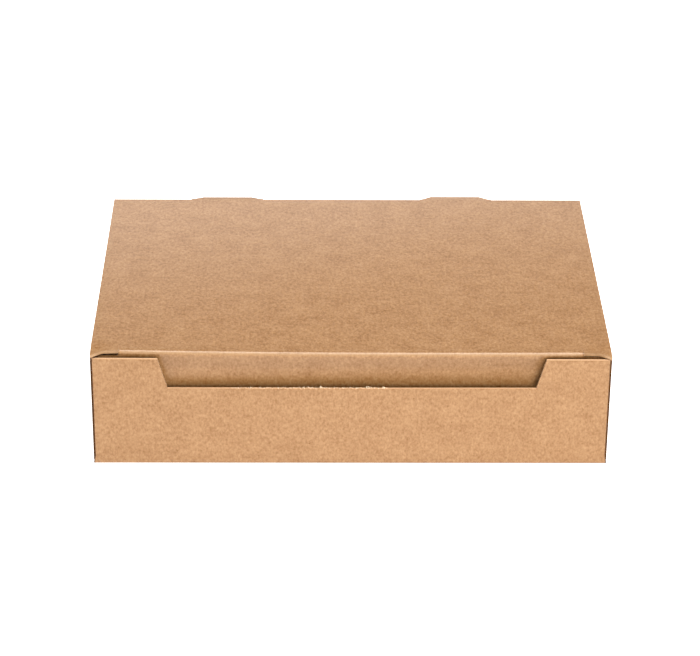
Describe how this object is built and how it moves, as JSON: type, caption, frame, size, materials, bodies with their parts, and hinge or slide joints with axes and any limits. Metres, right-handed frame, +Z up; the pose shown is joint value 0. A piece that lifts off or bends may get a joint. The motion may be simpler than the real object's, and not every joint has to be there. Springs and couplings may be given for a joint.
{
  "type": "cardboard box with hinged lid",
  "caption": "Flat one-piece corrugated card mailer box with a tuck-in lid hinged along its rear crease and a thumb cut-out in the front wall.",
  "frame": {"origin": "middle of the floor's underside, which rests on the surface", "axes": "+X to the box's right along its longest side, +Y to the hinged back wall, +Z up"},
  "size_m": [0.3124, 0.224, 0.0746],
  "materials": {
    "kraft_board": "matte brown kraft liner with fine fibres"
  },
  "bodies": {
    "tray": {"tray": "kraft_board"},
    "lid": {"lid": "kraft_board"}
  },
  "joints": [
    {"name": "lid_hinge", "type": "hinge", "parent": "tray", "child": "lid", "pos_m": [0, 0.10941, 0.07401], "axis": [-1, 0, 0], "range_deg": [0, 180]}
  ]
}
